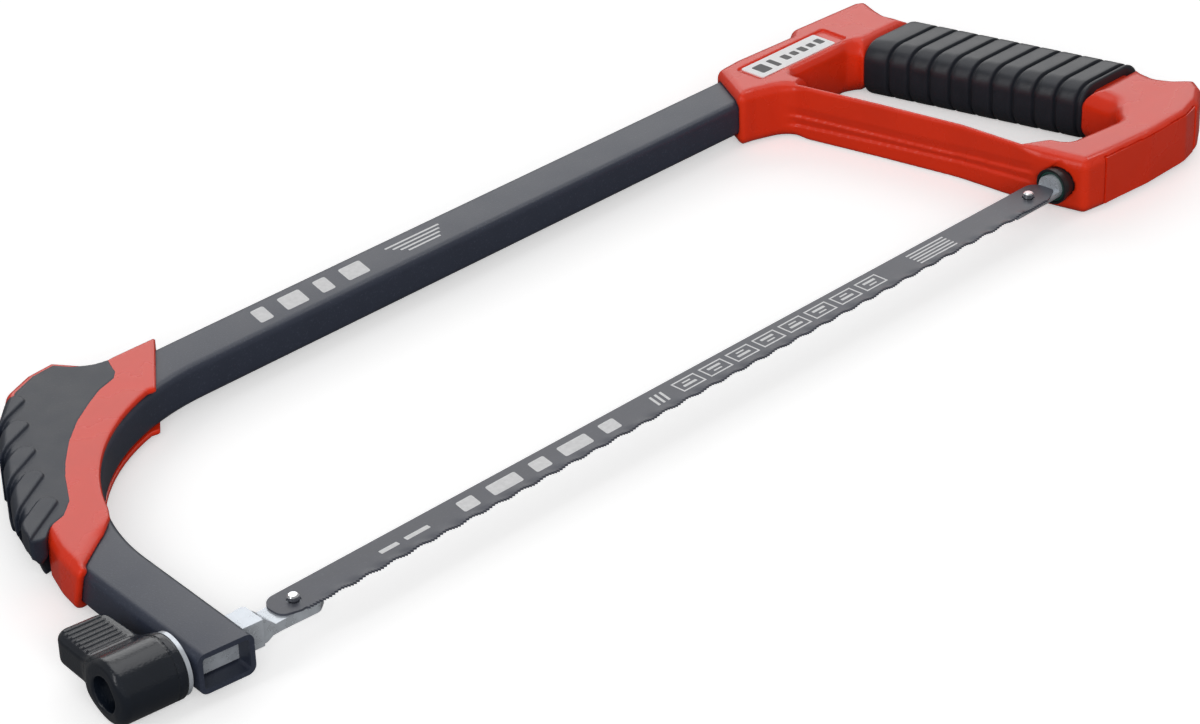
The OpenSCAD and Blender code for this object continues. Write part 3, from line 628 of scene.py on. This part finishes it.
# ------------------------------------------------------------------ blade with wavy-set teeth
def build_blade():
    L, half, t = 300.0, 5.6, 0.65
    p = 25.4 / 24
    back = rounded([[L + 9.2, -half + 2.6, 1], [L + 9.2, half - 0.2, 4.2], [-7, half, 4.6], [-7, -half + 2.4, 3], [-1.5, -half + 0.7, 0.5]], 8)
    pts = [tuple(q) for q in back]
    x = 0.0
    while x < L + 2:
        pts += [(x, -half + 0.78), (x + p * 0.70, -half), (x + p * 0.80, -half + 0.04)]
        x += p
    pts.append((L + 4.4, -half + 0.7))
    nout = len(pts)
    edges = [(i, (i + 1) % nout) for i in range(nout)]
    for cx in (0.0, L):
        s = len(pts)
        pts += [(cx + 2.0 * math.cos(2 * math.pi * k / 28), 2.0 * math.sin(2 * math.pi * k / 28)) for k in range(28)]
        edges += [(s + k, s + (k + 1) % 28) for k in range(28)]
    for yy in (-4.3, -3.6, -2.6):
        pts += [(xx, yy) for xx in np.arange(-4, L + 5, 1.15)]
    for yy in (0.5, 3.4):
        pts += [(xx, yy) for xx in np.arange(8, L - 7, 6)]
    v, e, f, *_ = delaunay_2d_cdt([Vector(q) for q in pts], edges, [], 0, 1e-5)
    v = np.array([tuple(q) for q in v])
    f = np.array([tuple(q) for q in f if len(q) == 3])
    c = v[f].mean(1)
    inside = sdpoly(np.array(pts[:nout]), c[:, 0], c[:, 1]) < 0
    for cx in (0.0, L):
        inside &= np.hypot(c[:, 0] - cx, c[:, 1]) > 1.97
    f = f[inside]
    used = np.unique(f)
    remap = -np.ones(len(v), int); remap[used] = np.arange(len(used))
    v, f = v[used], remap[f]
    a = v[f]
    area = (a[:, 1, 0] - a[:, 0, 0]) * (a[:, 2, 1] - a[:, 0, 1]) - (a[:, 1, 1] - a[:, 0, 1]) * (a[:, 2, 0] - a[:, 0, 0])
    f[area < 0] = f[area < 0][:, ::-1]
    wave = 0.34 * np.sin(2 * math.pi * v[:, 0] / 9.3) * step(-v[:, 1], 3.0, 5.4) * step(v[:, 0], 2, 12) * (1 - step(v[:, 0], L - 10, L - 2))
    z0 = 0.02
    top = np.column_stack([v, z0 + t + wave])
    bot = np.column_stack([v, z0 + wave])
    n = len(v)
    # boundary edges make the side walls
    cnt = {}
    for tri in f:
        for k in range(3):
            cnt[(tri[k], tri[(k + 1) % 3])] = 1
    walls = []
    for (i, j) in cnt:
        if (j, i) not in cnt:
            walls += [(j, i, n + i), (j, n + i, n + j)]
    F3 = np.concatenate([f, f[:, ::-1] + n, np.array(walls)])
    ob = make_mesh("blade_mesh", np.concatenate([top, bot]), F3)
    ob.data.set_sharp_from_angle(angle=math.radians(30))
    return ob


put(build_blade(), BLADE, "blade")
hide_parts("saw_blade")


# ------------------------------------------------------------------ printed marks, generic shapes only
def plates(name, polys, z, th, m, body):
    V, Fc = [], []
    for P in polys:
        P = np.array(P, float)
        n = len(P)
        if 0.5 * np.sum(P[:, 0] * np.roll(P[:, 1], -1) - np.roll(P[:, 0], -1) * P[:, 1]) < 0:
            P = P[::-1]
        s = len(V)
        V += [(q[0], q[1], z) for q in P] + [(q[0], q[1], z + th) for q in P]
        Fc.append(tuple(s + n + k for k in range(n)))
        Fc.append(tuple(s + n - 1 - k for k in range(n)))
        for k in range(n):
            k2 = (k + 1) % n
            Fc.append((s + k, s + k2, s + n + k2, s + n + k))
    ob = make_mesh(name, V, Fc, smooth=False)
    return put(ob, m, body)


def rr(cx, cy, w, h, r, skew=0.0):
    P = rounded([[cx - w / 2, cy - h / 2, r], [cx + w / 2, cy - h / 2, r], [cx + w / 2, cy + h / 2, r], [cx - w / 2, cy + h / 2, r]], 4)
    P[:, 0] += (P[:, 1] - cy) * skew
    return P


def frame_box(cx, cy, w, h, lw, r):
    """outlined box as four bars, with square corners"""
    return [rr(cx, cy + h / 2 - lw / 2, w, lw, 0), rr(cx, cy - h / 2 + lw / 2, w, lw, 0),
            rr(cx - w / 2 + lw / 2, cy, lw, h - 2 * lw, 0), rr(cx + w / 2 - lw / 2, cy, lw, h - 2 * lw, 0)]


marks = []
for k, (w, s) in enumerate(((5.0, 0.25), (8.5, 0.25), (5.0, 0.25), (8.5, 0.25))):
    marks.append(rr(88 + k * 12.0, 113.5, w, 7.6, 0.8, s))
marks += [rr(150, 113.5 + 2.9 - k * 1.9, 22 - k * 3.0, 0.8, 0.2) for k in range(4)]
plates("bow_print", marks, TUBE_H / 2, 0.03, PRINT, "frame")

marks = [rr(33, -0.2, 6.5, 1.6, 0.3), rr(43, -0.2, 8.5, 1.6, 0.3)]
for k, w in enumerate((6.0, 11.0, 6.0, 11.0, 6.0)):
    marks.append(rr(62 + k * 13.5, 0.2, w, 5.2, 0.7, 0.2))
marks += [rr(134 + k * 2.0, 0.2, 0.9, 5.0, 0.2, 0.2) for k in range(3)]
for k in range(8):
    cx = 148 + k * 11.2
    marks += frame_box(cx, 0.4, 9.2, 5.6, 0.55, 1)
    marks.append(rr(cx, 0.4 + (0.8 if k % 2 else -0.6), 5.2, 1.0, 0.3))
    marks.append(rr(cx, 0.4 - (0.9 if k % 2 else -1.0), 3.2, 0.6, 0.2))
marks += [rr(254, 3.0 - k * 1.45, 17, 0.62, 0.15) for k in range(5)]
plates("blade_print", marks, 0.672, 0.02, PRINT, "blade")

marks = [rr(302.5, 112.3, 4.6, 5.6, 0.6), rr(308.2, 112.3, 2.2, 5.6, 0.5)]
marks += [rr(314.0 + k * 4.1, 112.3, 2.7, 3.6 - 0.7 * (k % 2), 0.5) for k in range(5)]
plates("label_print", marks, 9.2, 0.02, INK, "frame")

# ------------------------------------------------------------------ floor, light, camera
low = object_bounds()[0][2]
me = bpy.data.meshes.new("floor")
me.from_pydata([(-6, -6, low), (6, -6, low), (6, 6, low), (-6, 6, low)], [], [(0, 1, 2, 3)])
floor = bpy.data.objects.new("floor", me)
bpy.context.scene.collection.objects.link(floor)
fm = bpy.data.materials.new("pale_floor")
fm.use_nodes = True
nt = fm.node_tree
pb = nt.nodes["Principled BSDF"]
pb.inputs["Roughness"].default_value = 0.9
pb.inputs["Specular IOR Level"].default_value = 0.0
lp = nt.nodes.new("ShaderNodeLightPath")
mx = nt.nodes.new("ShaderNodeMix"); mx.data_type = "RGBA"
mx.inputs["A"].default_value = (0.22, 0.22, 0.22, 1)
mx.inputs["B"].default_value = (0.93, 0.93, 0.93, 1)
nt.links.new(lp.outputs["Is Camera Ray"], mx.inputs["Factor"])
nt.links.new(mx.outputs["Result"], pb.inputs["Base Color"])
pb.inputs["Emission Color"].default_value = (1, 1, 1, 1)
em = nt.nodes.new("ShaderNodeMath"); em.operation = "MULTIPLY"
em.inputs[1].default_value = 0.42
nt.links.new(lp.outputs["Is Camera Ray"], em.inputs[0])
nt.links.new(em.outputs["Value"], pb.inputs["Emission Strength"])
floor.data.materials.append(fm)

w = bpy.data.worlds.new("studio")
bpy.context.scene.world = w
w.use_nodes = True
wt = w.node_tree
bg = wt.nodes["Background"]
lp = wt.nodes.new("ShaderNodeLightPath")
mr = wt.nodes.new("ShaderNodeMapRange")
mr.inputs["To Min"].default_value = 0.30
mr.inputs["To Max"].default_value = 1.0
wt.links.new(lp.outputs["Is Camera Ray"], mr.inputs["Value"])
wt.links.new(mr.outputs["Result"], bg.inputs["Strength"])
bg.inputs["Color"].default_value = (1, 1, 1, 1)

TGT = Vector((0.15, 0.055, 0.0)) + Vector(OFF * MM)


def area(name, az, el, dist, sx, sy, radiance, glossy=True, diffuse=True):
    a, e = math.radians(az), math.radians(el)
    d = Vector((math.sin(a) * math.cos(e), -math.cos(a) * math.cos(e), math.sin(e)))
    li = bpy.data.lights.new(name, "AREA")
    li.shape, li.size, li.size_y = "RECTANGLE", sx, sy
    li.energy = radiance * math.pi * sx * sy
    ob = bpy.data.objects.new(name, li)
    ob.location = TGT + d * dist
    ob.rotation_euler = d.to_track_quat("Z", "Y").to_euler()
    bpy.context.scene.collection.objects.link(ob)
    ob.visible_glossy, ob.visible_diffuse = glossy, diffuse
    return ob


# azimuths: 0 looks from -Y, and the camera stands at -44.6
area("top_box", 150, 78, 1.6, 1.5, 1.5, 1.45, diffuse=False)
area("top_fill", 150, 78, 1.6, 1.5, 1.5, 0.25, glossy=False)
area("back_panel", 135, 30, 2.0, 2.4, 1.2, 1.6)
area("front_fill", -40, 26, 2.2, 1.6, 1.2, 4.0, glossy=False)
area("left_strip", -95, 30, 1.8, 0.35, 1.2, 3.0)
area("edge_spot", 79, 50, 1.8, 0.32, 0.32, 7.0, diffuse=False)

cam = bpy.data.cameras.new("camera")
co = bpy.data.objects.new("camera", cam)
bpy.context.scene.collection.objects.link(co)
az, el, roll = math.radians(-44.629), math.radians(29.622), math.radians(-1.927)
back = Vector((math.sin(az) * math.cos(el), -math.cos(az) * math.cos(el), math.sin(el)))
fwd = -back
r0 = fwd.cross(Vector((0, 0, 1))).normalized()
u0 = r0.cross(fwd)
right = r0 * math.cos(roll) + u0 * math.sin(roll)
up = -r0 * math.sin(roll) + u0 * math.cos(roll)
pos = Vector((0.140522, 0.028001, 0)) + Vector(OFF * MM) + back * 1.01419
co.matrix_world = Matrix(((right.x, up.x, back.x, pos.x), (right.y, up.y, back.y, pos.y), (right.z, up.z, back.z, pos.z), (0, 0, 0, 1)))
cam.sensor_width = 36.0
cam.lens = 3561.07 / 1200 * 36
cam.clip_start, cam.clip_end = 0.05, 50
bpy.context.scene.camera = co
bpy.context.scene.view_settings.view_transform = "Standard"
